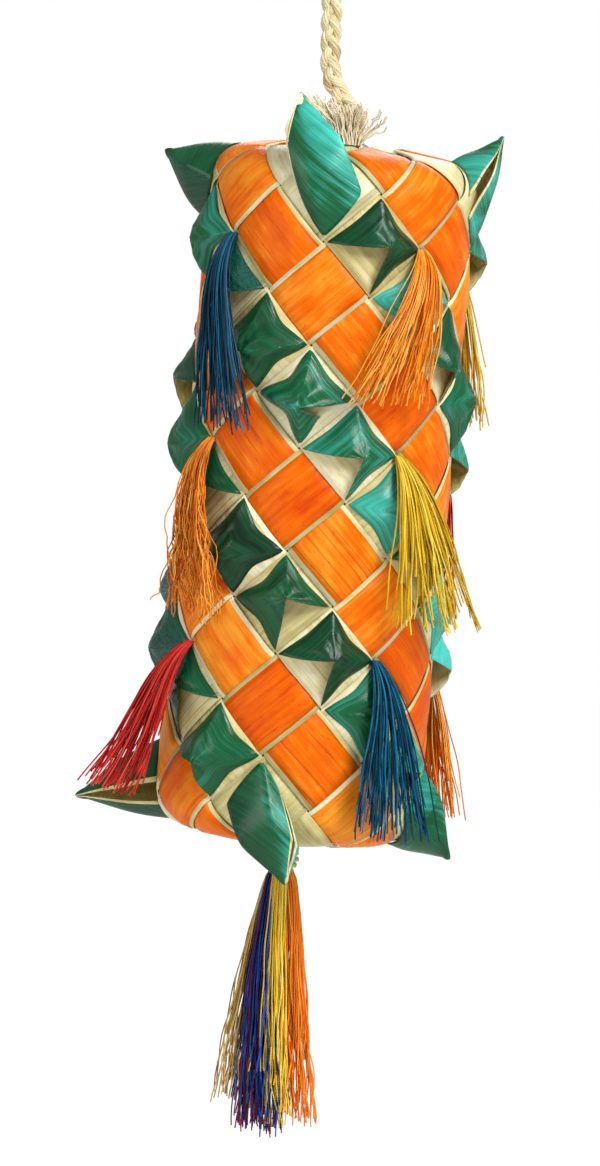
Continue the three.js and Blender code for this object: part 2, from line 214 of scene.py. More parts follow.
def new_tree(name, kind, inputs, outputs):
    """An empty node group: (group, its inputs, its outputs). An input has a kind or a default."""
    tree = bpy.data.node_groups.new(name, kind)
    for label, value in inputs.items():
        form = SOCKET_KINDS.get(type(value), value)
        socket = tree.interface.new_socket(label, in_out="INPUT", socket_type="NodeSocket" + form)
        if form != value:
            socket.default_value = value
    for label, form in outputs.items():
        tree.interface.new_socket(label, in_out="OUTPUT", socket_type="NodeSocket" + form)
    given = {s.name: Term(s) for s in add(tree, "NodeGroupInput").outputs}
    return tree, given, add(tree, "NodeGroupOutput").inputs


def shape_tree(name, **defaults):
    """A Geometry Nodes tree that takes a mesh, a material and some values of its own."""
    inputs = {"Geometry": "Geometry", "Material": "Material"}
    for key, value in defaults.items():
        inputs[key.replace("_", " ").title()] = value
    return new_tree(name, "GeometryNodeTree", inputs, {"Geometry": "Geometry"})


def named(tree, name, form="FLOAT_VECTOR"):
    """A value that the geometry carries under a name."""
    kind = "GeometryNodeInputNamedAttribute"
    return source(tree, kind, {"Name": name}, "Attribute", data_type=form)


def keep(geometry, name, value, form="FLOAT_VECTOR", domain="POINT"):
    """Stores a value on the geometry under a name."""
    inputs = {"Geometry": geometry, "Name": name, "Value": value}
    return made("GeometryNodeStoreNamedAttribute", inputs, data_type=form, domain=domain)


def position(tree):
    return source(tree, "GeometryNodeInputPosition")


def moved(geometry, place=None, offset=None):
    inputs = {"Geometry": geometry, "Position": place, "Offset": offset}
    return made("GeometryNodeSetPosition", inputs)


def joined(*pieces):
    both = add(tree_of(pieces), "GeometryNodeJoinGeometry")
    for piece in pieces:
        feed(both.inputs[0], piece)
    return Term(both.outputs[0])


def unit_grid(tree, columns, rows):
    inputs = {"Size X": 1.0, "Size Y": 1.0, "Vertices X": columns, "Vertices Y": rows}
    return source(tree, "GeometryNodeMeshGrid", inputs)


def copies_at(spots, piece):
    """A copy of a piece at each spot, as real faces that keep the spot's place as cell."""
    marked = keep(spots, "cell", position(tree_of([spots])))
    crowd = made("GeometryNodeInstanceOnPoints", {"Points": marked, "Instance": piece})
    return made("GeometryNodeRealizeInstances", {0: crowd})


def copied_lines(lines, count):
    """Copies of the lines, and the number of each copy."""
    tree = tree_of([lines])
    inputs = {"Geometry": lines, "Amount": count}
    copies = add(tree, "GeometryNodeDuplicateElements", inputs, domain="SPLINE").outputs
    kept = keep(Term(copies[0]), "copy", copies[1], "INT", "CURVE")
    return kept, named(tree, "copy", "INT")


def tubes(lines, radius, sides):
    """A closed tube along each line."""
    ring = made("GeometryNodeCurvePrimitiveCircle", {"Resolution": sides, "Radius": radius})
    inputs = {"Curve": lines, "Profile Curve": ring, "Fill Caps": True}
    return made("GeometryNodeCurveToMesh", inputs)


def finished(tree, geometry, given, result):
    """The end of each tree: real faces, smooth, in the given material."""
    real = made("GeometryNodeRealizeInstances", {0: geometry})
    smooth = made("GeometryNodeSetShadeSmooth", {0: real})
    inputs = {"Geometry": smooth, "Material": given["Material"]}
    feed(result["Geometry"], made("GeometryNodeSetMaterial", inputs))
    return tree


# Meshes and objects.
def plain_mesh(name, points, edges=(), faces=()):
    mesh = bpy.data.meshes.new(name)
    mesh.from_pydata([tuple(p) for p in points], list(edges), list(faces))
    mesh.update()
    return mesh


def line_mesh(name, points, closed=False):
    count = len(points)
    edges = [(i, i + 1) for i in range(count - 1)]
    if closed:
        edges.append((count - 1, 0))
    return plain_mesh(name, points, edges)


def placed(name, data):
    """A new object, in the scene and at the origin."""
    piece = bpy.data.objects.new(name, data)
    bpy.context.scene.collection.objects.link(piece)
    return piece


def settle(piece):
    """Turns a piece with its modifiers into a plain mesh."""
    graph = bpy.context.evaluated_depsgraph_get()
    mesh = bpy.data.meshes.new_from_object(piece.evaluated_get(graph))
    piece.modifiers.clear()
    piece.data = mesh
    mesh.name = piece.name
    return piece


def grown(name, tree, source, **values):
    """Runs a Geometry Nodes tree on a mesh and keeps the plain mesh that comes out."""
    piece = placed(name, source)
    modifier = piece.modifiers.new("shape", "NODES")
    modifier.node_group = tree
    words = {key.replace("_", " "): value for key, value in values.items()}
    for item in tree.interface.items_tree:
        if item.in_out == "INPUT" and item.name.lower() in words:
            modifier[item.identifier] = words.pop(item.name.lower())
    assert not words, f"{tree.name} has no inputs {sorted(words)}"
    return settle(piece)


def walled(piece, thickness, lining=None):
    """Gives a leaf its thickness, and its inner face the lining's material."""
    if lining:
        piece.data.materials.append(lining)
    wall = piece.modifiers.new("wall", "SOLIDIFY")
    wall.thickness = thickness
    wall.offset = -1
    wall.material_offset = 1 if lining else 0
    return settle(piece)


def stands_for(piece, body, slot, *nodes):
    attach(piece, body)
    if nodes:
        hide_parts(*nodes)


# Materials. Each colour is written as in sRGB.
def colour(red, green, blue):
    """The linear values that Blender takes."""

    def linear(value):
        share = value / 255
        return share / 12.92 if share <= 0.04045 else ((share + 0.055) / 1.055) ** 2.4

    return (linear(red), linear(green), linear(blue), 1.0)


def mixed(first, second, share):
    inputs = {"Factor": share, "A": first, "B": second}
    return made("ShaderNodeMix", inputs, "Result", data_type="RGBA", blend_type="MIX")


def three_tones(first, second, third, tone):
    """A colour that runs from the first, at 0, through the second to the third, at 1."""
    low = mixed(first, second, clamp(tone * 2, 0.0, 1.0))
    return mixed(low, third, clamp(tone * 2 - 1, 0.0, 1.0))


def grain_tree(name, colours, values):
    """A shader group that gives a colour, a roughness and a height."""
    inputs = dict.fromkeys(colours, "Color") | values
    outputs = {"Color": "Color", "Roughness": "Float", "Height": "Float"}
    return new_tree(name, "ShaderNodeTree", inputs, outputs)


def leaf_grain():
    """Palm leaf: fibres along the strip, a tone for each cell, flecks, splits, fine ribs and a
    painted sheen.
    """
    values = {
        "Flecks": 0.5, "Splits": 0.5, "Ribs": 0.0,
        "Tone": 0.5, "Tint": 0.0, "Contrast": 1.0, "Gloss": 0.38,
    }
    tree, given, result = grain_tree("leaf grain", ("Deep", "Middle", "Light", "Fleck"), values)
    # The leaf attribute holds metres along and across the strip, and its number plus a tone that is
    # part random and part painted sheen.
    leaf = source(tree, "ShaderNodeAttribute", output="Vector", attribute_name="leaf")
    along, across, code = parts(leaf)
    mark = maths("FLOOR", code)
    tint = maths("FRACT", code)

    def grain(lengthwise, crosswise, lot, detail=2.0):
        """Noise with its waves in a metre along the strip and across it, and its own lot."""
        return noise(along * lengthwise, across * crosswise, mark * lot, detail)

    cell = vector(maths("FLOOR", along * (1 / PITCH)), mark, 0.0)
    cell_tone = made("ShaderNodeTexWhiteNoise", {"Vector": cell}, noise_dimensions="3D")
    streak = grain(35, 700, 5.3)
    fine = grain(60, 4200, 3.1)
    broad = grain(70, 90, 7.7)
    patch = grain(140, 420, 2.9)
    uneven = (cell_tone - 0.5) * 0.6 + (streak - 0.5) + (broad - 0.5) * 1.2
    uneven = (uneven + (fine - 0.5) * 0.5 + (patch - 0.5) * 0.5) * given["Contrast"]
    # Partly painted sheen: the part of the code after its number, times the material's share, lifts
    # the tone towards its light colour where a green leaf faces the key light.
    tone = given["Tone"] + uneven + tint * given["Tint"]
    body = three_tones(given["Deep"], given["Middle"], given["Light"], tone)
    fleck = ramp(grain(330, 1900, 11.0, 1.0), 0.66, 0.75) * given["Flecks"]
    marked = mixed(body, given["Fleck"], fleck)
    ridge = maths("ABSOLUTE", grain(3, 190, 9.1, 0.0) - 0.5)
    split = (1 - ramp(ridge, 0.0, 0.02)) * ramp(grain(26, 30, 4.3, 0.0), 0.56, 0.64)
    split = split * given["Splits"]
    feed(result["Color"], mixed(marked, given["Fleck"], clamp(split * 0.55, 0.0, 1.0)))
    rough = given["Gloss"] + (fine - 0.5) * 0.25 + (streak - 0.5) * 0.15
    feed(result["Roughness"], rough)
    rib = maths("SINE", across * 6500 + broad * 9) * given["Ribs"]
    height = streak * 0.5 + fine * 0.5 + rib * 0.35 - split * 1.6 + broad * 0.6
    feed(result["Height"], height)
    return tree


def fibre_grain():
    """Dyed fibre: each strand has its own shade, which drifts along it."""
    colours = ("Dark", "Middle", "Bright")
    tree, given, result = grain_tree("fibre grain", colours, {"Gloss": 0.45})
    # The fibre attribute holds the place along the strand, the strand's lot and its bundle's.
    fibre = source(tree, "ShaderNodeAttribute", output="Vector", attribute_name="fibre")
    share, lot, mark = parts(fibre)
    drift = noise(share * 6, lot * 40, mark, 2.0)
    speck = noise(share * 90, lot * 90, mark, 1.0)
    tone = lot * 0.8 + (drift - 0.5) * 0.8 + (speck - 0.5) * 0.35 + 0.1
    body = three_tones(given["Dark"], given["Middle"], given["Bright"], tone)
    feed(result["Color"], body)
    feed(result["Roughness"], given["Gloss"] + (speck - 0.5) * 0.3)
    feed(result["Height"], speck)
    return tree


LEAF_GRAIN = leaf_grain()
FIBRE_GRAIN = fibre_grain()


def finish_of(name, grain, tones, bump, depth, specular, values):
    """A material whose colour, roughness and bump come from one of the shared groups."""
    material = bpy.data.materials.new(name)
    material.use_nodes = True
    tree = material.node_tree
    shader = tree.nodes["Principled BSDF"]
    effect = add(tree, "ShaderNodeGroup", node_tree=grain)
    for key, tone in tones.items():
        feed(effect.inputs[key], colour(*tone))
    for key, value in values.items():
        feed(effect.inputs[key.capitalize()], value)
    feed(shader.inputs["Base Color"], effect.outputs["Color"])
    feed(shader.inputs["Roughness"], effect.outputs["Roughness"])
    shader.inputs["Specular IOR Level"].default_value = specular
    inputs = {"Strength": bump, "Distance": depth, "Height": effect.outputs["Height"]}
    feed(shader.inputs["Normal"], source(tree, "ShaderNodeBump", inputs))
    return material


def leaf_finish(name, deep, middle, light, fleck, bump, specular=0.5, **values):
    tones = {"Deep": deep, "Middle": middle, "Light": light, "Fleck": fleck}
    return finish_of(name, LEAF_GRAIN, tones, bump, 0.4 * MM, specular, values)


def fibre_finish(name, dark, middle, bright, gloss=0.42):
    tones = {"Dark": dark, "Middle": middle, "Bright": bright}
    return finish_of(name, FIBRE_GRAIN, tones, 0.4, 0.2 * MM, 0.25, {"gloss": gloss})


# The four colours of a leaf are its deep, middle and light tone and its flecks.
ORANGE = leaf_finish(
    "orange_leaf", (206, 52, 0), (239, 110, 2), (253, 178, 54), (150, 40, 6),
    bump=0.5, specular=0.1, gloss=0.36, flecks=0.5, splits=0.8, contrast=0.68,
)
CREAM = leaf_finish(
    "cream_leaf", (160, 144, 74), (212, 199, 136), (246, 239, 206), (110, 84, 44),
    bump=0.6, specular=0.3, gloss=0.42, flecks=0.35, splits=0.7, tone=0.6, contrast=0.85,
)
# The green's teal light tone is a painted sheen, which its points and corner leaves take on their
# lit side.
GREEN = leaf_finish(
    "green_leaf", (0, 38, 16), (4, 92, 52), (74, 204, 188), (2, 30, 18),
    bump=0.45, specular=0.36, gloss=0.26, flecks=0.3, splits=0.3, ribs=0.1,
    tone=0.17, tint=0.85, contrast=0.5,
)
SHREDS = leaf_finish(
    "shredded_leaf", (92, 76, 40), (140, 120, 70), (186, 168, 112), (70, 50, 26),
    bump=0.6, gloss=0.6,
)
FIBRES = {
    "blue": fibre_finish("blue_fibre", (0, 24, 36), (2, 68, 96), (22, 132, 174)),
    "orange": fibre_finish("orange_fibre", (206, 92, 8), (248, 148, 26), (255, 202, 92)),
    "yellow": fibre_finish("yellow_fibre", (170, 122, 6), (234, 190, 28), (250, 230, 100)),
    "red": fibre_finish("red_fibre", (140, 12, 14), (208, 34, 30), (240, 88, 68)),
    "natural": fibre_finish("natural_fibre", (128, 92, 34), (190, 148, 62), (226, 194, 120)),
    "frayed": fibre_finish("frayed_fibre", (238, 218, 184), (252, 242, 218), (255, 252, 240), 0.7),
    "rope": fibre_finish("rope_fibre", (186, 164, 116), (228, 213, 170), (248, 240, 214), 0.7),
    "navy": fibre_finish("tail_blue_fibre", (92, 12, 26), (14, 30, 92), (46, 88, 182)),
    "wine": fibre_finish("tail_red_fibre", (90, 8, 18), (154, 20, 32), (206, 48, 42)),
    "gold": fibre_finish("tail_yellow_fibre", (224, 170, 24), (252, 216, 60), (255, 238, 128)),
    "flame": fibre_finish("tail_orange_fibre", (228, 84, 10), (255, 136, 24), (255, 188, 70)),
}


# The camera and the light. The camera looks down a little and is rolled, so the drum leans.
CAMERA_RISE = math.radians(4.5)
CAMERA_ROLL = math.radians(5.2)
VIEW_DISTANCE = 2.2
VIEW_LENS = 88.75 * VIEW_DISTANCE
SENSOR_WIDTH = 36
DRUM_RIGHT, DRUM_ABOVE = 0.0054, 0.0312


def set_camera():
    """The photograph's view: from the front, a little above, with the drum leaning right."""
    back = Vector((0, -math.cos(CAMERA_RISE), math.sin(CAMERA_RISE)))
    level, up = Vector((1, 0, 0)), Vector((0, math.sin(CAMERA_RISE), math.cos(CAMERA_RISE)))
    right = level * math.cos(CAMERA_ROLL) + up * math.sin(CAMERA_ROLL)
    above = up * math.cos(CAMERA_ROLL) - level * math.sin(CAMERA_ROLL)
    target = AXIS - right * DRUM_RIGHT - above * DRUM_ABOVE
    camera = placed("camera", bpy.data.cameras.new("camera"))
    camera.data.sensor_width = SENSOR_WIDTH
    camera.data.lens = VIEW_LENS
    camera.data.clip_start = 0.01
    turn = camera.matrix_world.to_3x3()
    for k, direction in enumerate((right, above, back)):
        turn.col[k] = direction
    camera.matrix_world = turn.to_4x4()
    camera.location = target + back * VIEW_DISTANCE
    bpy.context.scene.camera = camera


SKY_LIGHT, SKY_SEEN, SKY_MIRRORED = 0.32, 1.0, 0.16
LAMPS = [
    # name, place, size, power
    ("key", (0.75, -1.0, 0.75), 0.6, 24.0),
    ("fill", (-1.2, -0.9, -0.05), 0.8, 6.0),
    ("rim", (0.2, 1.2, 0.6), 0.9, 9.0),
]
FLOOR_HALF = 3.0
FLOOR_GAP = 0.12
FLOOR_GREY = 0.82
FLOOR_WHITE, FLOOR_WHITENED = 1.1, 0.88


def set_sky():
    """A white background that lights the object at a plain level and shows faintly in gloss."""
    world = bpy.data.worlds.new("studio")
    bpy.context.scene.world = world
    world.use_nodes = True
    tree = world.node_tree
    rays = add(tree, "ShaderNodeLightPath").outputs
    seen = maths("MAXIMUM", Term(rays["Is Camera Ray"]), Term(rays["Is Transmission Ray"]))
    seen = maths("MAXIMUM", seen, Term(rays["Is Glossy Ray"]) * SKY_MIRRORED)
    sky = tree.nodes["Background"]
    sky.inputs["Color"].default_value = (1, 1, 1, 1)
    feed(sky.inputs["Strength"], blend(SKY_LIGHT, SKY_SEEN, seen))


def set_lamp(name, place, size, power):
    lamp = bpy.data.lights.new(name, "AREA")
    lamp.size = size
    lamp.energy = power
    holder = placed(name, lamp)
    holder.location = place
    holder.rotation_euler = (AXIS - Vector(place)).to_track_quat("-Z", "Y").to_euler()


def lay_floor():
    """A pale floor that keeps the object's shadow and looks nearly white."""
    drop = min(corner[2] for corner in cad_box) - FLOOR_GAP
    signs = ((-1, -1), (1, -1), (1, 1), (-1, 1))
    corners = [(x * FLOOR_HALF, y * FLOOR_HALF, drop) for x, y in signs]
    floor = placed("floor", plain_mesh("floor", corners, faces=[(0, 1, 2, 3)]))
    pale = bpy.data.materials.new("pale_floor")
    pale.use_nodes = True
    tree = pale.node_tree
    shader = tree.nodes["Principled BSDF"]
    shader.inputs["Base Color"].default_value = (FLOOR_GREY, FLOOR_GREY, FLOOR_GREY, 1)
    shader.inputs["Roughness"].default_value = 0.8
    rays = add(tree, "ShaderNodeLightPath").outputs
    inputs = {"Color": (1, 1, 1, 1), "Strength": FLOOR_WHITE}
    white = source(tree, "ShaderNodeEmission", inputs)
    share = Term(rays["Is Camera Ray"]) * FLOOR_WHITENED
    both = made("ShaderNodeMixShader", {0: share, 1: shader.outputs[0], 2: white})
    feed(tree.nodes["Material Output"].inputs["Surface"], both)
    floor.data.materials.append(pale)


set_camera()
bpy.context.scene.view_settings.view_transform = "Standard"
set_sky()
for lamp_row in LAMPS:
    set_lamp(*lamp_row)
lay_floor()


# Trees for rope and loose fibre
# A strand of the braid swings and is as thick as these shares of the braid's width, and its yarns
# turn round it once in a lay and a bit more.
STRANDS = 3
STRAND_SWING, STRAND_THICK = 0.27, 0.155
YARN_TURNS = 1.4
ROPE_DIAMETER = 0.0074


def braided_rope():
    """A flat braid of three strands, each of several yarns, along a line."""
    tree, given, result = shape_tree(
        "braided rope",
        width=ROPE_DIAMETER, lay=0.02, yarn_radius=0.0006, yarns=8, points=120, seed=1.0,
    )
    line = made("GeometryNodeMeshToCurve", {"Mesh": given["Geometry"]})
    even = made("GeometryNodeResampleCurve", {"Curve": line, "Count": given["Points"]})
    kept, copy = copied_lines(even, given["Yarns"] * STRANDS)
    strand = maths("MODULO", copy, float(STRANDS))
    yarn = maths("FLOOR", copy / STRANDS)
    length = source(tree, "GeometryNodeSplineParameter", output="Length")
    normal = source(tree, "GeometryNodeInputNormal")
    side = vectors("CROSS_PRODUCT", source(tree, "GeometryNodeInputTangent"), normal)
    turn = length / given["Lay"] * math.tau + strand * (math.tau / STRANDS)
    swing = given["Width"] * STRAND_SWING
    wide = maths("SINE", turn) * swing
    deep = maths("SINE", turn * 2) * swing * 0.5
    twist = yarn / given["Yarns"] * math.tau + length / given["Lay"] * (math.tau * YARN_TURNS)
    loose = noise(length * 160, copy * 7.1, given["Seed"])
    out = given["Width"] * STRAND_THICK * (0.72 + loose * 0.56)
    wide = wide + maths("COSINE", twist) * out
    deep = deep + maths("SINE", twist) * out
    laid = moved(kept, offset=vectors("ADD", scaled(side, wide), scaled(normal, deep)))
    lot = made("FunctionNodeRandomValue", {"ID": copy, "Seed": 5}, "Value")
    toned = keep(laid, "fibre", vector(length * 12, lot, given["Seed"]))
    return finished(tree, tubes(toned, given["Yarn Radius"], 5), given, result)


def fibre_bundle():
    """Loose strands that follow a line and spread from its root to its tip."""
    tree, given, result = shape_tree(
        "fibre bundle",
        strands=60, strand_radius=0.0003, across=(1, 0, 0), outward=(0, -1, 0),
        root_width=0.001, tip_width=0.01, root_depth=0.001, tip_depth=0.003, opening=1.0,
        waviness=0.003, waves=3.0, clump=0.002, shortest=0.75, strays=0.06, stray_reach=1.8, seed=1,
    )
    line = made("GeometryNodeMeshToCurve", {"Mesh": given["Geometry"]})
    kept, copy = copied_lines(line, given["Strands"])

    def dice(turn, low, high):
        """Three random numbers for each strand."""
        inputs = {"Min": low, "Max": high, "ID": copy, "Seed": given["Seed"] + turn}
        kind = "FunctionNodeRandomValue"
        return parts(made(kind, inputs, "Value", data_type="FLOAT_VECTOR"))

    wide, deep, lot = dice(0, (-1, -1, 0), (1, 1, 1))
    trim, stray, bend = dice(17, (0, 0, -1), (1, 1, 1))
    share = source(tree, "GeometryNodeSplineParameter", output="Factor")
    far = 1 + maths("GREATER_THAN", stray, 1 - given["Strays"]) * given["Stray Reach"]
    opened = maths("POWER", share, given["Opening"])
    width = blend(given["Root Width"], given["Tip Width"] * far, opened)
    depth = blend(given["Root Depth"], given["Tip Depth"] * far, opened)
    aside = scaled(given["Across"], wide * width)
    spread = vectors("ADD", aside, scaled(given["Outward"], (deep * 0.75 + 0.25) * depth))

    def sway(code, waves, reach):
        """A step that grows towards the tip and goes its own way for each code."""
        field = noise(code, share * waves, given["Seed"], 1.0, output=1)
        return scaled(vectors("SUBTRACT", field, (0.5, 0.5, 0.5)), share * reach * 2)

    waves = given["Waves"]
    own = sway(copy * 7.31, waves, given["Waviness"] * far)
    shared = sway(maths("FLOOR", copy / 7) * 3.7 + 0.5, waves * 0.6, given["Clump"])
    laid = moved(kept, offset=vectors("ADD", vectors("ADD", spread, own), shared))
    inputs = {"Curve": laid, 3: 1 - trim * trim * (1 - given["Shortest"])}
    cut = made("GeometryNodeTrimCurve", inputs, mode="FACTOR")
    toned = keep(cut, "fibre", vector(share, lot, bend * 3))
    return finished(tree, tubes(toned, given["Strand Radius"], 3), given, result)


ROPE_TREE = braided_rope()
BUNDLE_TREE = fibre_bundle()


def braided(name, line, closed=False, **values):
    """A braid along a line."""
    source = line_mesh(name, line, closed)
    return grown(name, ROPE_TREE, source, material=FIBRES["rope"], **values)


def frayed(name, dye, source, **values):
    """Loose strands along a line or several."""
    return grown(name, BUNDLE_TREE, source, material=FIBRES[dye], **values)


# The rope. Its route, knot and loop are in millimetres right of the axis and above its middle.
ROPE_ROUTE = [
    (0.4, 125), (-0.8, 134), (-4.2, 138.6), (-7.4, 144.4),
    (-8.6, 151.5), (-9.1, 160), (-9.6, 169), (-10, 178.2),
]
ROPE_INTO_KNOT = 0.0022
ROPE_LEAN = -10
KNOT_HEIGHT = 186.0
KNOT_RING, KNOT_SWAY, KNOT_RISE = 0.0031, 0.0014, 0.0049
LOOP_HEIGHT = 212.2
LOOP_RADIUS = 0.0147
LOOP_DIP = 0.0034


def smooth_line(points, count):
    """A smooth line through points, with even steps of its parameter."""
    line = []
    last = len(points) - 1
    for k in range(count):
        at = k * last / (count - 1)
        i = min(int(at), last - 1)
        t = at - i
        a, b, c, d = (Vector(points[min(max(j, 0), last)]) for j in range(i - 1, i + 3))
        curve = 2 * b + (c - a) * t + (2 * a - 5 * b + 4 * c - d) * t**2
        line.append((curve + (3 * b - 3 * c + d - a) * t**3) / 2)
    return line


def beside_axis(x, z):
    return AXIS + Vector((x, 0, z)) * MM


def knot_line():
    """Goes twice round the rope's end and up and down three times on its way."""
    middle = beside_axis(ROPE_LEAN, KNOT_HEIGHT)
    line = []
    for k in range(90):
        turn = math.tau * k / 90
        ring = KNOT_RING + KNOT_SWAY * math.cos(3 * turn)
        rise = KNOT_RISE * math.sin(3 * turn)
        line.append(middle + Vector((ring * math.cos(2 * turn), ring * math.sin(2 * turn), rise)))
    return line


def loop_line():
    """A ring whose foot dips into the knot."""
    middle = beside_axis(ROPE_LEAN, LOOP_HEIGHT)
    line = []
    for k in range(60):
        turn = math.tau * k / 60
        dip = Vector((0, 0, LOOP_DIP * max(-math.cos(turn), 0) ** 8))
        line.append(middle + Vector((math.sin(turn), 0, math.cos(turn))) * LOOP_RADIUS - dip)
    return line


def make_rope():
    route = [beside_axis(x, z) for x, z in ROPE_ROUTE]
    line = smooth_line(route, 31)
    length = sum((b - a).length for a, b in zip(line, line[1:]))
    longer = [*line, line[-1] + Vector((0, 0, ROPE_INTO_KNOT))]
    rope = braided("rope_stretch_braid", longer, width=ROPE_DIAMETER, lay=0.021, points=110)
    knot = braided("rope_knot", knot_line(), True, width=0.0066, lay=0.016, points=170, seed=2.0)
    loop = braided("rope_loop", loop_line(), True, width=0.0070, lay=0.0184, points=150, seed=3.0)
    stands_for(rope, "rope", "rope", "rope_stretch")
    stands_for(knot, "rope", "rope", "loop_knot")
    stands_for(loop, "hanger", "rope", "hanging_loop")


make_rope()


# The plait in nodes: a place (p, q, lift) becomes a place on the drum.
def plait_group():
    """The same sums as plait_point's."""
    inputs, outputs = {"Place": "Vector", "Drum Radius": RADIUS}, {"Position": "Vector"}
    tree, given, result = new_tree("place on the plait", "GeometryNodeTree", inputs, outputs)
    p, q, lift = parts(given["Place"])
    distance = (MIDDLE_ROW - (p + q)) * HALF_STEP
    along = maths("ABSOLUTE", distance)
    lean = clamp((along - SIDE_END) / SHOULDER, 0.0, SHOULDER_TURN)
    extra = maths("MAXIMUM", along - SHOULDER_END, 0.0)
    sine, cosine = maths("SINE", lean), maths("COSINE", lean)
    radius = given["Drum Radius"] - (1 - cosine) * SHOULDER - extra * sine + lift * cosine
    height = maths("MINIMUM", along, SIDE_END) + sine * (lift + SHOULDER) + extra * cosine
    height = height * maths("SIGN", distance)
    azimuth = (p - q) * COLUMN + (p + q) * TWIST + FRONT
    x = maths("SINE", azimuth) * radius + AXIS.x
    y = maths("COSINE", azimuth) * radius * -1
    feed(result["Position"], vector(x, y, height + AXIS.z))
    return tree


PLAIT = plait_group()


def on_plait(p, q, lift):
    return made("GeometryNodeGroup", {"Place": vector(p, q, lift)}, node_tree=PLAIT)


# The strips
# Widths, the wander and what the ends lack are shares of the pitch. The rest is in metres.
HANDS = ("right", "left")
WEAVE = 0.0008
CROWN = 0.0003
EDGE_WANDER = 0.02
FACE_RIPPLE = 0.0008
STRIP_SHORT = 0.03
CREAM_HALF = 0.486
# lift, half width, wall
CREAM_LAYER = (0.0001, CREAM_HALF, 0.0003)
ORANGE_LAYER = (0.0004, 0.425, 0.00024)


def leaf_strip():
    """A strip of leaf that passes over one crossing strip and under the next."""
    tree, given, result = shape_tree(
        "leaf strip",
        hand=0.0, index=0.0, first=0.0, last=15.0, half_width=CREAM_HALF, lift=0.0,
        weave_depth=WEAVE, crown=CROWN, stations=260,
    )
    grid = unit_grid(tree, given["Stations"], 7)
    x, y, _ = parts(position(tree))
    hand, index = given["Hand"], given["Index"]
    along = blend(given["First"], given["Last"], x + 0.5)
    across = y * 2 * (hand * 2 - 1)
    ragged = noise(along * 2.2, index * 5.3 + hand, across * 0.7, 1.0)
    side = across * given["Half Width"] + (ragged - 0.5) * EDGE_WANDER
    over = maths("COSINE", (along + index + 0.5 - hand) * math.pi)
    weave = clamp(over * 3.5, -1.0, 1.0)
    crown = (1 - across * across) * clamp(over * 2, 0.0, 1.0) * given["Crown"]
    ripple = noise(along * 1.7, index * 3.3, hand * 9 + across, 1.0)
    lift = weave * given["Weave Depth"] + given["Lift"] + crown + (ripple - 0.5) * FACE_RIPPLE
    centre = index + 0.5 + side
    p, q = blend(along, centre, hand), blend(centre, along, hand)
    leaf = vector(along * PITCH, side * PITCH, index + hand * 20)
    kept = keep(grid, "leaf", leaf)
    return finished(tree, moved(kept, on_plait(p, q, lift)), given, result)


STRIP_TREE = leaf_strip()


def make_leaf(name, material, hand, index, lift, half_width, wall):
    """One layer of a strip, from the end's middle over the side to the other end's."""
    place = {
        "hand": float(HANDS.index(hand)),
        "index": float(index),
        "first": float(FIRST_ROW - 1 - index) + STRIP_SHORT,
        "last": float(LAST_ROW - index) - STRIP_SHORT,
    }
    layer = {"material": material, "lift": lift, "half_width": half_width}
    empty = bpy.data.meshes.new("strip")
    return walled(grown(f"{name}_{hand}_{index}", STRIP_TREE, empty, **place, **layer), wall)


def make_strip(hand, index):
    """A cream strip, or an orange one on its cream lining."""
    lined = index % 2 == 0
    name = "cream_lining" if lined else "cream_strip_leaf"
    cream = make_leaf(name, CREAM, hand, index, *CREAM_LAYER)
    if not lined:
        stands_for(cream, "pinata", "cream_leaf", f"cream_strip_{hand}_{index}")
        return
    stands_for(cream, "pinata", "cream_leaf")
    orange = make_leaf("orange_strip_leaf", ORANGE, hand, index, *ORANGE_LAYER)
    stands_for(orange, "pinata", "orange_leaf", f"orange_strip_{hand}_{index}")


# The green points. The drop, the crease and the heights are in metres.
POINT_ROWS = range(11)
POINT_END, POINT_END_DROP = 0.40, 0.006
POINT_CREASE = 0.0026
LIP_NARROW, LIP_OUT = 22, 22
TASSEL_POINT = 0.0046
TALL_POINT = (0.0068, 0.0082)
CLOSED_SHARE = 0.8
# The points that face this way round the drum, on its right side towards the key light, get the most
# painted sheen.
SHEEN_SIDE = math.radians(10)
POINT_WALL = 0.0003


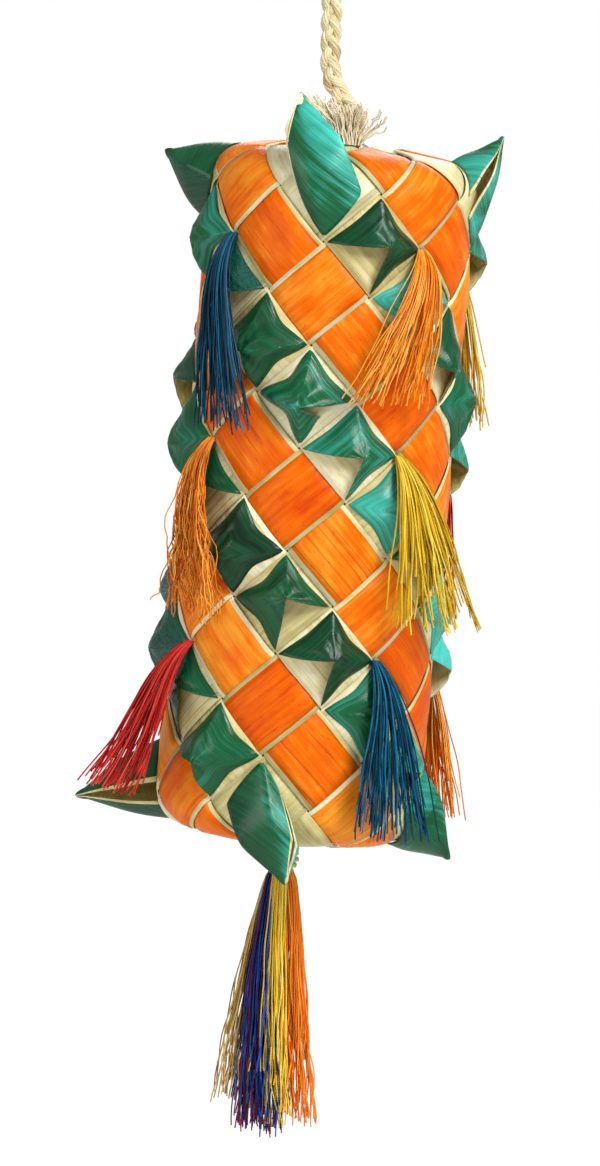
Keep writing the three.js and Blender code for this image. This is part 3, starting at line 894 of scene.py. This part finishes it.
def folded_points():
    """Green leaf folded to a hollow point on each given cell, open along one side."""
    tree, given, result = shape_tree(
        "folded points", hand=0.0, half_width=0.465, base_lift=0.0012, belly=0.0016, lip=0.0012
    )
    real = copies_at(given["Geometry"], unit_grid(tree, 49, 13))
    cell = named(tree, "cell")
    p0, q0, code = parts(cell)
    apex_a, apex_b, tall = parts(named(tree, "apex"))
    pinch, steep, closed = parts(named(tree, "fold"))
    x, y, _ = parts(vectors("SUBTRACT", position(tree), cell))
    hand = given["Hand"]
    edge = given["Half Width"]
    # s runs round the leaf's foot, and t from the foot to the apex.
    s = x * (hand * 2 - 1) + 0.5
    t = y + 0.5
    # The foot follows three sides of the cell, or all four where the point is closed.
    run = s * (closed + 3)
    wave = maths("SINE", run * math.pi)
    first_side = 1 - maths("LESS_THAN", run, 1.0) * 0.6
    inside = 1 - wave * wave * pinch * first_side
    rim_a = maths("MINIMUM", clamp(run * 2 - 3, -1.0, 1.0), 7 - run * 2) * edge * inside
    rim_b = clamp(maths("MAXIMUM", 1 - run * 2, run * 2 - 5), -1.0, 1.0) * edge * inside
    a = blend(rim_a, apex_a, t)
    b = blend(rim_b, apex_b, t)
    hump = maths("SINE", t * math.pi)
    near = maths("MINIMUM", s, 1 - s) * LIP_NARROW
    curl = maths("EXPONENT", near * near * -1) * hump * (1 - closed) * given["Lip"]
    crease = noise(s * 7, t * 3, code * 3.7, 2.0)
    rise = maths("POWER", t, steep) * tall + hump * wave * wave * given["Belly"]
    rise = rise + curl + (crease - 0.5) * hump * POINT_CREASE
    b = b + curl * LIP_OUT
    past_end = maths("MAXIMUM", maths("ABSOLUTE", a) - POINT_END, 0.0)
    lift = given["Base Lift"] + rise - past_end * POINT_END_DROP * (1 - t)
    p = p0 + blend(a, b, hand)
    q = q0 + blend(b, a, hand)
    # The point's number plus its tone, part random and part painted sheen.
    shade = code + named(tree, "tint", "FLOAT")
    leaf = vector(s * 0.0245, t * 0.016 + s * 0.004, shade)
    kept = keep(real, "leaf", leaf)
    shaped = moved(kept, on_plait(p, q, lift))
    inputs = {"Geometry": shaped, "Distance": 0.00002}
    merged = made("GeometryNodeMergeByDistance", inputs)
    return finished(tree, merged, given, result)


POINT_TREE = folded_points()
TASSEL_CELLS = {(column, row) for column in (-6, -2, 2, 6) for row in (0, 4, 8)}
# Ways to fold a point: (the apex's place), (pinch, steepness, closed share).
RIGHT_FOLDS = [
    ((0.08, -0.06), (0.12, 1.20, 0.0)),
    ((0.02, 0.24), (0.17, 1.10, 0.0)),
    ((0.12, 0.04), (0.20, 1.00, 0.0)),
]
LEFT_FOLDS = [
    ((-0.12, 0.00), (0.16, 1.15, 0.0)),
    ((0.10, 0.10), (0.30, 1.20, 1.0)),
    ((-0.05, 0.16), (0.12, 0.90, 0.0)),
    ((0.12, 0.08), (0.26, 1.05, 0.55)),
]
FOLDS = {"right": RIGHT_FOLDS, "left": LEFT_FOLDS}
# The folds that the picture shows, by (row, column).
SEEN_FOLDS = {
    (0, 1): 0, (2, -1): 1, (4, 1): 0, (6, -1): 1, (8, 1): 0, (10, -1): 1,
    (3, 0): 3, (7, 0): 0, (5, 2): 2, (9, -2): 0, (1, -2): 2, (5, -2): 0, (9, 2): 2,
}


def cells_of(hand, index):
    """(row, column, p, q) of the cells where a strip is on top, from rim to rim."""
    cells = []
    for row in range(FIRST_ROW, LAST_ROW + 1):
        other = row - 1 - index
        odd = (index + other) % 2 == 1
        if odd == (hand == "right"):
            p, q = (other, index) if hand == "right" else (index, other)
            column = (p - q + STRIPS) % (2 * STRIPS) - STRIPS
            cells.append((row, column, p + 0.5, q + 0.5))
    return cells


def make_points(hand, index, lots):
    """The points on one strip, each with its own height, fold and a tone that is part random and
    part painted sheen.
    """
    cells = [cell for cell in cells_of(hand, index) if cell[0] in POINT_ROWS]
    spots = [(p, q, 40.0 + k + 10 * index) for k, (_, _, p, q) in enumerate(cells)]
    mesh = plain_mesh("cells", spots)
    for name, form in (("apex", "FLOAT_VECTOR"), ("fold", "FLOAT_VECTOR"), ("tint", "FLOAT")):
        mesh.attributes.new(name, form, "POINT")
    apex, fold, tint = (mesh.attributes[name] for name in ("apex", "fold", "tint"))
    for k, (row, column, p, q) in enumerate(cells):
        low = (column, row - 1) in TASSEL_CELLS
        tall = TASSEL_POINT if low else lots.uniform(*TALL_POINT)
        picked = lots.randrange(len(FOLDS[hand]))
        spot, shape = FOLDS[hand][SEEN_FOLDS.get((row, column), picked)]
        spot = [value + lots.uniform(-0.04, 0.04) for value in spot]
        pinch, steep, closed = (value * lots.uniform(0.88, 1.12) for value in shape)
        apex.data[k].vector = (*spot, tall * (CLOSED_SHARE if closed > 0.5 else 1))
        fold.data[k].vector = (pinch, steep, min(closed, 1.0))
        # Painted sheen: points on the drum's right side, towards the key light, get a lighter,
        # tealer tone; the rest of the tone is random.
        turned = math.sin(azimuth_at(p, q) - SHEEN_SIDE)
        shade = 0.3 + 0.28 * turned + lots.uniform(-0.2, 0.36)
        tint.data[k].value = min(max(shade, 0), 0.9)
    turn = float(HANDS.index(hand))
    name = f"green_points_leaf_{hand}_{index}"
    piece = walled(grown(name, POINT_TREE, mesh, material=GREEN, hand=turn), POINT_WALL, CREAM)
    stands_for(piece, "pinata", "green_leaf", f"green_points_{hand}_{index}")


point_lots = random.Random(11)
for hand in HANDS:
    for index in range(STRIPS):
        make_strip(hand, index)
        if index % 2:
            make_points(hand, index, point_lots)


# Corner leaves
# An angle round a leaf is 0 at its right side, seen from outside, and 90 at its face. The places of
# the tips and the bulges are in millimetres.
CORNERS = [
    # name, end, column, tip's turn, radius and height, slit's angle, width and lap, breadth,
    # bulges, tones and painted sheen (a base tone, painted sheen across the leaf and painted sheen
    # along it)
    ("top_corner_front", 1, 0, -18, 43, 138, (184, 30, 2.6), 0.68, (4.6, 5.5), (0.36, 0.4, 0.14)),
    ("top_corner_right", 1, 4, 2, 54, 129, (172, 30, 0.6), 0.8, (1.5, 2.0), (0.42, -0.3, 0.0)),
    ("top_corner_back", 1, 8, 12, 54, 129, (184, 30, 2.0), 0.7, (4.0, 4.0), (0.2, 0.2, 0.1)),
    ("top_corner_left", 1, 12, 3, 63, 114, (180, 40, 0.6), 0.9, (2.0, 2.0), (0.14, 0.1, 0.0)),
    ("bottom_corner_front", -1, 0, 15, 51, -131, (22, 12, 0.5), 0.66, (5.2, 5.0), (0.34, 0.34, 0.0)),
    ("bottom_corner_right", -1, 4, 4, 59, -122, (10, 30, 0.6), 0.8, (2.5, 2.5), (0.5, 0.15, 0.0)),
    ("bottom_corner_back", -1, 8, -10, 60, -121, (170, 30, 2.0), 0.7, (4.0, 4.0), (0.2, 0.2, 0.1)),
    ("bottom_corner_left", -1, 12, 6, 75, -114, (-12, 32, 0.8), 0.85, (2.0, 2.5), (0.1, 0.1, 0.0)),
]
CORNER_ROWS = {1: -1, -1: 11}
CORNER_REACH = 0.45
CORNER_LIFT, CORNER_FOOT_LIFT = 0.0012, 0.0014
CORNER_WIDE, CORNER_LONG = 49, 29
CORNER_BLUNT = 0.89
CORNER_POWER = 1.15
CORNER_FLAT_HALF, CORNER_FLAT_LENGTH = 0.0159, 0.03
CORNER_WAVE = 0.0005
CORNER_WALL = 0.0004
LAP_NEAR, LAP_FAR = 0.08, 0.05


def corner_taper(t):
    """The leaf's width at t, from 1 at its foot to a round tip."""
    if t <= CORNER_BLUNT:
        return 1 - t
    blunt = (t - CORNER_BLUNT) / (1 - CORNER_BLUNT)
    return (1 - CORNER_BLUNT) * math.sqrt(max(1 - blunt * blunt, 0))


def corner_points(end, p, q, centre, tip, slit, breadth, bulges, tones_and_sheen, code):
    """The leaf's points, ring by ring from its foot to its tip, and the grain's mark at each, with
    its painted sheen.
    """
    azimuth = azimuth_at(p, q)
    normal = (plait_point(p, q, 0.002) - plait_point(p, q, 0.001)).normalized()
    sideways = Vector((math.cos(azimuth), math.sin(azimuth), 0))
    away = (plait_point(p + 0.1 * end, q + 0.1 * end, 0) - plait_point(p, q, 0)).normalized()
    out = (tip - centre).normalized()
    front = normal - out * normal.dot(out)
    inner = away - out * away.dot(out)
    angle, width, lap = math.radians(slit[0]), math.radians(slit[1]), slit[2] * MM
    past = sideways * math.cos(angle) + inner * math.sin(angle)
    points, marks = [], []
    for j in shares(CORNER_LONG):
        t = 1 - (1 - j) ** 1.4
        taper = corner_taper(t)
        swell = math.sin(math.pi * t**0.9) ** 1.2
        side_swell = (1 - abs(2 * t - 1)) ** 0.85
        for s in shares(CORNER_WIDE):
            turn = angle + width / 2 + (math.tau - width) * s
            x, y = math.cos(turn), math.sin(turn)
            diamond = (abs(x) ** CORNER_POWER + abs(y) ** CORNER_POWER) ** (-1 / CORNER_POWER)
            x, y = x * diamond, y * diamond
            a = CORNER_REACH * (x * breadth + y * end)
            b = CORNER_REACH * (y * end - x * breadth)
            foot = plait_point(p + a, q + b, CORNER_FOOT_LIFT)
            place = centre.lerp(tip, t) + (foot - centre) * taper
            place += sideways * x * bulges[0] * MM * side_swell
            place += (front * (0.5 + 0.5 * y) * bulges[1] + inner * y * 1.5) * MM * swell
            near, far = math.exp(-((s / LAP_NEAR) ** 2)), math.exp(-(((1 - s) / LAP_FAR) ** 2))
            place += past * (lap * near + CORNER_WAVE * far) * swell
            place += front * CORNER_WAVE * math.sin(8 * s + 7 * t + 2 * code) * swell
            points.append(place)
            u = x * ((1 - t) * breadth * CORNER_FLAT_HALF + bulges[0] * MM * side_swell)
            v = CORNER_FLAT_LENGTH * t - (1 - t) * y * CORNER_FLAT_HALF
            # Painted sheen: a base tone that gets lighter or darker across the leaf and along it, as
            # the light falls on it.
            shade = min(max(tones_and_sheen[0] + tones_and_sheen[1] * x + tones_and_sheen[2] * (2 * t - 1), 0), 0.9)
            marks.append((0.75 * (u - v * end), 0.65 * (v + u * end), 80 + code + shade))
    return points, marks


def make_corner(name, end, column, turn, radius, height, slit, breadth, bulges, tones_and_sheen, code):
    """A leaf folded to a hollow point that grows out of its cell and leaves a slit open."""
    row = CORNER_ROWS[end]
    p, q = (row + column) / 2, (row - column) / 2
    tip = around(azimuth_at(p, q) + math.radians(turn), radius * MM, height * MM)
    centre = plait_point(p, q, CORNER_LIFT)
    points, marks = corner_points(end, p, q, centre, tip, slit, breadth, bulges, tones_and_sheen, code)
    strips = CORNER_WIDE - 1
    faces = []
    for j in range(CORNER_LONG - 1):
        for i in range(strips):
            k = j * CORNER_WIDE + i
            faces.append((k, k + 1, k + CORNER_WIDE + 1, k + CORNER_WIDE))
    mesh = plain_mesh(name, points, faces=faces)
    cell = mesh.polygons[(CORNER_LONG // 3) * strips + CORNER_WIDE // 2]
    if cell.normal.dot(cell.center - centre.lerp(tip, 1 / 3)) < 0:
        mesh.flip_normals()
    leaf = mesh.attributes.new("leaf", "FLOAT_VECTOR", "POINT")
    for k, mark in enumerate(marks):
        leaf.data[k].vector = mark
    mesh.materials.append(GREEN)
    mesh.shade_smooth()
    for k, polygon in enumerate(mesh.polygons):
        if k % strips in (0, strips - 1):
            polygon.material_index = 1
    piece = placed(f"{name}_leaf", mesh)
    walled(piece, CORNER_WALL, CREAM)
    stands_for(piece, "pinata", "green_leaf", name)


for code, corner in enumerate(CORNERS):
    make_corner(*corner, code)


# Side tassels. Lengths, sweep, flare, spread and waves' reach are in millimetres.
TASSELS = [
    # name, column, row, dye, length, sweep, flare, spread, waves' reach, shortest
    ("upper_left", -2, 0, "blue", 66, 15, 0, 13.5, 2.4, 0.72),
    ("upper_right", 2, 0, "orange", 53, -16, 1, 17.0, 4.2, 0.6),
    ("middle_left", -2, 4, "orange", 61, 12, 1, 14.5, 6.4, 0.6),
    ("middle_right", 2, 4, "yellow", 58, 15, 3, 18.0, 2.2, 0.6),
    ("lower_left", -2, 8, "red", 53, -9, 13, 16.0, 3.0, 0.6),
    ("lower_right", 2, 8, "blue", 61, 6, 1, 17.0, 2.4, 0.66),
    ("upper_back_left", -6, 0, "red", 60, 4, 1, 14.0, 2.6, 0.65),
    ("upper_back_right", 6, 0, "yellow", 62, -4, 2, 14.0, 2.6, 0.65),
    ("middle_back_left", -6, 4, "blue", 60, -6, 2, 14.0, 2.6, 0.65),
    ("middle_back_right", 6, 4, "red", 61, 6, 1, 14.0, 2.6, 0.65),
    ("lower_back_left", -6, 8, "yellow", 60, 3, 2, 14.0, 2.6, 0.65),
    ("lower_back_right", 6, 8, "orange", 58, -5, 3, 14.0, 2.6, 0.65),
]
ROOT_LIFT, FALL_LIFT = 0.0008, 0.0098
TANGLED_REACH = 5
LINE_POINTS = 26


def make_tassel(name, column, row, dye, length, sweep, flare, spread, reach, shortest, seed):
    azimuth = azimuth_at((row + column) / 2, (row - column) / 2)
    root_height = profile_at((MIDDLE_ROW - row) * HALF_STEP, 0)[1]
    line = []
    for share in shares(LINE_POINTS):
        lift = ROOT_LIFT + FALL_LIFT * (1 - math.exp(-7 * share))
        radius = RADIUS + lift + flare * MM * share**2
        turn = azimuth + sweep * MM * share / radius
        line.append(around(turn, radius, root_height - length * MM * share))
    piece = frayed(
        f"tassel_{name}_fibres", dye, line_mesh("tassel_line", line),
        strands=112 if dye == "orange" else 92,
        strand_radius=0.00026 if dye == "orange" else 0.00031,
        across=(math.cos(azimuth), math.sin(azimuth), 0),
        outward=(math.sin(azimuth), -math.cos(azimuth), 0),
        root_width=0.0016, tip_width=spread * MM, root_depth=0.0008, tip_depth=0.0034, opening=0.9,
        waviness=reach * MM, waves=5.0 if reach > TANGLED_REACH else 2.0, clump=0.005,
        shortest=shortest, strays=0.08, stray_reach=0.3, seed=seed,
    )
    stands_for(piece, f"tassel_{name}", f"{dye}_fibre", f"tassel_{name}")


for k, tassel in enumerate(TASSELS):
    make_tassel(*tassel, 100 + 7 * k)


# The tail. Each hank's ring, spread and length are in millimetres.
TIE_HEIGHT = -0.1276
TIE_RADIUS = 0.006
TIE_OVERLAP = 0.002
TAIL = [
    # name, tone, slot, place round the middle, turn on the way down, ring, spread, length, strands
    ("yellow", "gold", "yellow_fibre", 0, 30, 5, 3.8, 90, 64),
    ("orange", "flame", "orange_fibre", 72, 6, 9, 5.5, 88, 90),
    ("red", "wine", "red_fibre", 144, 144, 5.5, 7.0, 92, 96),
    ("natural", "natural", "natural_fibre", 216, 58, 11, 9.5, 84, 84),
    ("blue", "navy", "blue_fibre", 288, 20, 6, 7.0, 92, 100),
]
HANK_ROOT = 0.0012
TAIL_LEAN = 0.0045


def make_hank(name, tone, slot, degrees, twist, ring, spread, length, strands, seed):
    top = TIE_HEIGHT - TIE_RADIUS + TIE_OVERLAP
    line = []
    for share in shares(LINE_POINTS):
        reach = HANK_ROOT + (ring * MM - HANK_ROOT) * math.sqrt(share)
        turn = math.radians(degrees) + math.radians(twist) * share**1.5
        lean = Vector((TAIL_LEAN * share**1.5, 0, 0))
        line.append(around(turn, reach, top - length * MM * share) + lean)
    piece = frayed(
        f"tail_{name}_fibres", tone, line_mesh("hank_line", line), strands=strands,
        root_width=0.0026, tip_width=spread * MM, root_depth=0.0020, tip_depth=0.8 * spread * MM,
        opening=0.8, waviness=0.0040, waves=2.8, clump=0.0056,
        shortest=0.66, strays=0.1, stray_reach=0.5, seed=seed,
    )
    stands_for(piece, "tail", slot, f"tail_{name}")


for k, hank in enumerate(TAIL):
    make_hank(*hank, 300 + 11 * k)


TIE_TURNS = 6.5
TIE_ARC = 2.4
TIE_RING, TIE_RISE = 0.0049, 0.0056


def make_tie():
    """Natural cord wound round the top of the tail."""
    middle = AXIS + Vector((0, 0, TIE_HEIGHT))
    line = []
    for share in shares(200):
        lean = (share - 0.5) * TIE_ARC
        turn = math.tau * TIE_TURNS * share
        ring, rise = TIE_RING * math.cos(lean), TIE_RISE * math.sin(lean)
        line.append(middle + Vector((ring * math.cos(turn), ring * math.sin(turn), rise)))
    tie = braided(
        "tail_tie_cord", line,
        width=0.0021, lay=0.006, yarn_radius=0.00026, yarns=4, points=260, seed=4.0,
    )
    stands_for(tie, "tail_tie", "rope", "tail_tie")


make_tie()


# The frayed tuft. It leans left with the rope, and its right side is shorter and stands up more.
TUFT_LINES, TUFT_POINTS = 16, 12
TUFT_RADIUS, TUFT_HEIGHT = 0.0022, 0.1216
TUFT_DRIFT = 0.0036


def make_tuft():
    """The frayed fibres that stand round the rope where it leaves the drum."""
    spray = random.Random(5)
    points, edges = [], []
    for k in range(TUFT_LINES):
        turn = math.tau * k / TUFT_LINES + spray.uniform(-0.2, 0.2)
        right = math.sin(turn)
        lean = spray.uniform(0.15, 0.8) * (1 - 0.45 * max(right, 0))
        length = spray.uniform(0.012, 0.019) * (1 - 0.18 * right)
        drift = TUFT_DRIFT * (right - 1)
        for share in shares(TUFT_POINTS):
            out = TUFT_RADIUS + length * lean * share**1.4 * 0.55
            up = length * share * (1 - 0.35 * lean * share)
            if share:
                edges.append((len(points) - 1, len(points)))
            points.append(around(turn, out, TUFT_HEIGHT + up) + Vector((drift * share, 0, 0)))
    piece = frayed(
        "rope_tuft_fibres", "frayed", plain_mesh("tuft_line", points, edges), strands=13,
        root_width=0.0026, tip_width=0.0034, root_depth=0.0026, tip_depth=0.0034,
        waviness=0.0026, clump=0.001, shortest=0.5, seed=61,
    )
    stands_for(piece, "rope_tuft", "rope", "rope_tuft")


make_tuft()


# The end mats.
MAT_DEPTH = 0.0029
MAT_STRIP_SHARE = 0.88
MAT_WALL = 0.0003


def woven_mat():
    """Narrow strips woven square over the drum's end, one set through the other."""
    tree, given, result = shape_tree(
        "woven mat", radius=0.036, pitch=0.008, strips=9, depth=0.0006, height=0.12, up=1.0
    )
    radius, pitch = given["Radius"], given["Pitch"]
    half_count = (given["Strips"] - 1) * 0.5
    start = vector(0.0, half_count * -1, 0.0)
    inputs = {"Count": given["Strips"], "Start Location": start, "Offset": (0, 1, 0)}
    row = made("GeometryNodeMeshLine", inputs, mode="OFFSET")
    real = copies_at(row, unit_grid(tree, 60, 4))
    cell = named(tree, "cell")
    place = parts(cell)[1]
    x, y, _ = parts(vectors("SUBTRACT", position(tree), cell))
    centre = place * pitch
    chord = maths("SQRT", maths("MAXIMUM", radius * radius - centre * centre, 0.0))
    along = x * 2 * chord
    across = centre + y * pitch * MAT_STRIP_SHARE

    def layer(turned):
        wave = maths("COSINE", (along / pitch + place + float(turned)) * math.pi)
        lift = clamp(wave * 2.5, -1.0, 1.0) * given["Depth"]
        out = maths("SQRT", along * along + across * across)
        level = given["Height"] - out * math.tan(SLOPE) + lift
        first, second = (across, along) if turned else (along, across)
        spot = vector(first + AXIS.x, second, level * given["Up"] + AXIS.z)
        mark = vector(along, across, place + 130 + 20 * turned)
        return moved(keep(real, "leaf", mark), spot)

    return finished(tree, joined(layer(0), layer(1)), given, result)


def make_mat(name, up):
    empty = bpy.data.meshes.new("mat")
    height = HALF_LENGTH - MAT_DEPTH
    mat = grown(f"{name}_weave", MAT_TREE, empty, material=CREAM, height=height, up=up)
    walled(mat, MAT_WALL)
    stands_for(mat, "pinata", "cream_leaf", name)


MAT_TREE = woven_mat()
make_mat("top_end_mat", 1.0)
make_mat("bottom_end_mat", -1.0)


# The filling, a little inside its solid, and the cord through it.
FILLING_ROUND, FILLING_LONG = 0.965, 0.99
SHRED_CURL, SHRED_BEND = 0.0012, 9


def shredded_leaf():
    """Curled shreds of leaf, strewn over a surface."""
    tree, given, result = shape_tree(
        "shredded leaf", density=26000.0, length=0.016, width=0.0016, seed=3
    )
    surface = given["Geometry"]
    inputs = {"Mesh": surface, "Density": given["Density"], "Seed": given["Seed"]}
    spots = add(tree, "GeometryNodeDistributePointsOnFaces", inputs)
    inputs = {"Size X": given["Length"], "Size Y": given["Width"], "Vertices X": 7, "Vertices Y": 2}
    grid = made("GeometryNodeMeshGrid", inputs)
    x, y, _ = parts(position(tree))
    bent = vector(0.0, maths("SINE", x * 300) * SHRED_CURL, x * x * -SHRED_BEND)
    curled = moved(grid, offset=bent)
    marked = keep(curled, "leaf", vector(x, y, 160.0))
    inputs = {"Min": (0, 0, 0), "Max": (0.3, 0.3, math.tau), "Seed": 9}
    kind = "FunctionNodeRandomValue"
    turn = source(tree, kind, inputs, "Value", data_type="FLOAT_VECTOR")
    inputs = {0: spots.outputs["Rotation"], 1: turn}
    spun = made("FunctionNodeRotateRotation", inputs, rotation_space="LOCAL")
    inputs = {"Points": spots.outputs["Points"], "Instance": marked, "Rotation": spun}
    crowd = made("GeometryNodeInstanceOnPoints", inputs)
    lining = keep(surface, "leaf", position(tree))
    return finished(tree, joined(crowd, lining), given, result)


def make_filling():
    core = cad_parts["filling"].data.copy()
    for vertex in core.vertices:
        x, y, z = vertex.co - AXIS
        vertex.co = AXIS + Vector((x * FILLING_ROUND, y * FILLING_ROUND, z * FILLING_LONG))
    core.materials.clear()
    piece = grown("filling_shreds", shredded_leaf(), core, material=SHREDS)
    stands_for(piece, "pinata", "filling", "filling")


make_filling()
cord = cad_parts["core_cord"]
cord.data.materials.clear()
cord.data.materials.append(FIBRES["rope"])
